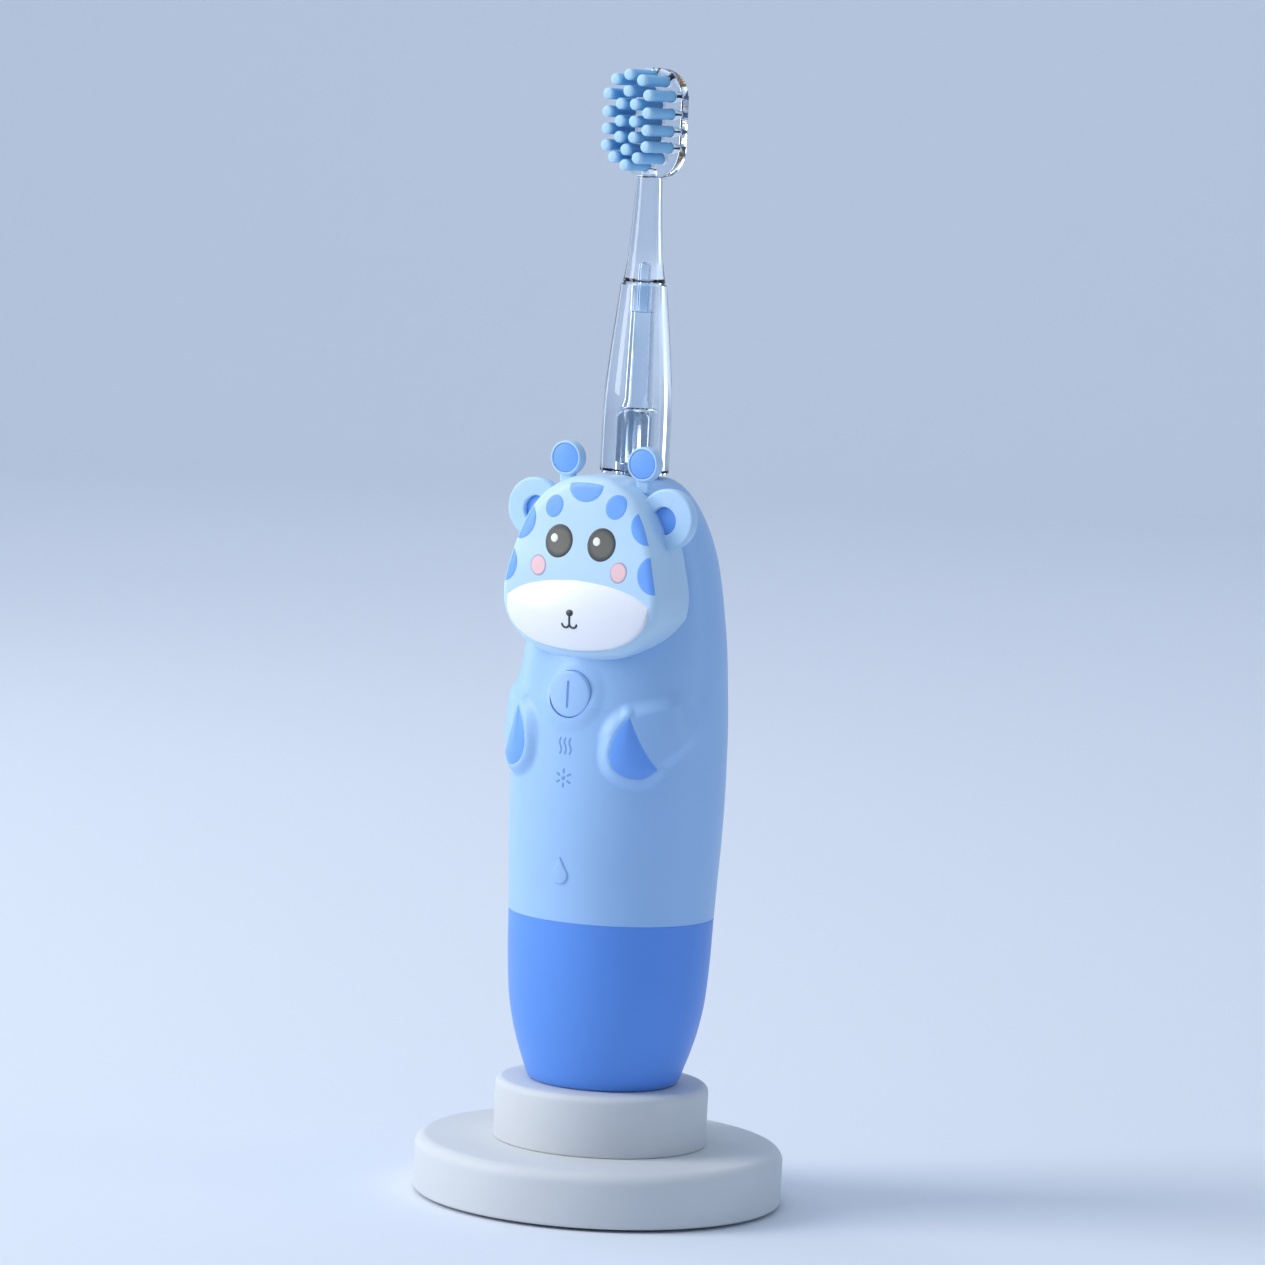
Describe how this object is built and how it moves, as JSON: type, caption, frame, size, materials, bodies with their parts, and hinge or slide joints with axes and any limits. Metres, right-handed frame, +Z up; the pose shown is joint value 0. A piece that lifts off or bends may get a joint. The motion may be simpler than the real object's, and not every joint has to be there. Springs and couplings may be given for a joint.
{
  "type": "electric toothbrush on charger",
  "caption": "Sonic toothbrush for children with a giraffe on the front of its handle and a clear brush head, standing on a round two-tier inductive charger.",
  "frame": {"origin": "centre of the charger's underside, on the surface it stands on", "axes": "+Z up along the charging post, the handle and the drive shaft; the giraffe and the button face -Y; +X to the giraffe's left, which is the viewer's right"},
  "size_m": [0.064, 0.064, 0.1954],
  "materials": {
    "stand_plastic": "fine matt",
    "pad_rubber": "matt",
    "screw_steel": "plated",
    "ferrite": "ground",
    "copper_wire": "enamelled",
    "circuit_board": "solder mask",
    "component_black": "moulded",
    "inlet_steel": "drawn",
    "cup_blue": "satin",
    "body_blue": "satin",
    "seal_rubber": "matt",
    "white_nylon": "moulded",
    "battery_wrap": "shrink wrap over a steel can",
    "nickel": "rolled",
    "lead_wire": "insulation",
    "motor_steel": "drawn",
    "bronze": "sintered",
    "magnet": "nickel plated",
    "indicator_blue": "translucent",
    "spot_blue": "satin",
    "face_cyan": "satin",
    "muzzle_white": "satin",
    "eye_brown": "satin",
    "glint_white": "gloss",
    "cheek_pink": "satin",
    "shaft_steel": "polished",
    "clear_plastic": "polished clear",
    "bristle_blue": "nylon"
  },
  "bodies": {
    "stand": {"rubber_pad": "pad_rubber", "base_plate": "stand_plastic", "base_screws": "screw_steel", "lower_housing": "stand_plastic", "upper_housing": "stand_plastic", "charging_post": "stand_plastic", "ferrite_core": "ferrite", "primary_coil": "copper_wire", "charger_board": "circuit_board", "board_parts": "component_black", "power_inlet": "inlet_steel", "inlet_tongue": "component_black"},
    "handle": {"base_cup": "cup_blue", "seal_ring": "seal_rubber", "upper_body": "body_blue", "coil_bobbin": "white_nylon", "receive_coil": "copper_wire", "coil_leads": "lead_wire", "chassis": "white_nylon", "battery": "battery_wrap", "battery_tabs": "nickel", "control_board": "circuit_board", "board_screws": "screw_steel", "button_switch": "component_black", "motor_can": "motor_steel", "motor_end_cap": "component_black", "stator_coils": "copper_wire", "front_bearing": "bronze", "rear_bearing": "bronze", "torsion_bar": "shaft_steel", "neck_seal": "seal_rubber", "button_gasket": "seal_rubber", "wave_indicator": "indicator_blue", "star_indicator": "indicator_blue", "droplet_badge": "body_blue", "hooves": "spot_blue", "face_shell": "face_cyan", "muzzle": "muzzle_white", "mouth": "eye_brown", "eyes": "eye_brown", "eye_glints": "glint_white", "cheeks": "cheek_pink", "spots": "spot_blue", "ears": "body_blue", "ear_inserts": "spot_blue", "horns": "body_blue", "horn_pads": "spot_blue"},
    "button": {"power_button": "body_blue"},
    "drive": {"drive_shaft": "shaft_steel", "rotor_magnet": "magnet"},
    "brush_head": {"brush_neck": "clear_plastic", "brush_stem": "clear_plastic", "tuft_anchors": "bronze", "tufts": "bristle_blue"}
  },
  "joints": [
    {"name": "handle_lift", "type": "slide", "parent": "stand", "child": "handle", "axis": [0, 0, 1], "range_m": [0, 0.06]},
    {"name": "button_press", "type": "slide", "parent": "handle", "child": "button", "axis": [0, 1, 0], "range_m": [0, 0.0006], "stiffness_N_per_m": 600},
    {"name": "drive_swing", "type": "hinge", "parent": "handle", "child": "drive", "pos_m": [0, 0, 0.11], "axis": [0, 0, 1], "range_deg": [-5, 5], "stiffness_Nm_per_rad": 0.05},
    {"name": "brush_pull", "type": "slide", "parent": "drive", "child": "brush_head", "axis": [0, 0, 1], "range_m": [0, 0.03]}
  ]
}
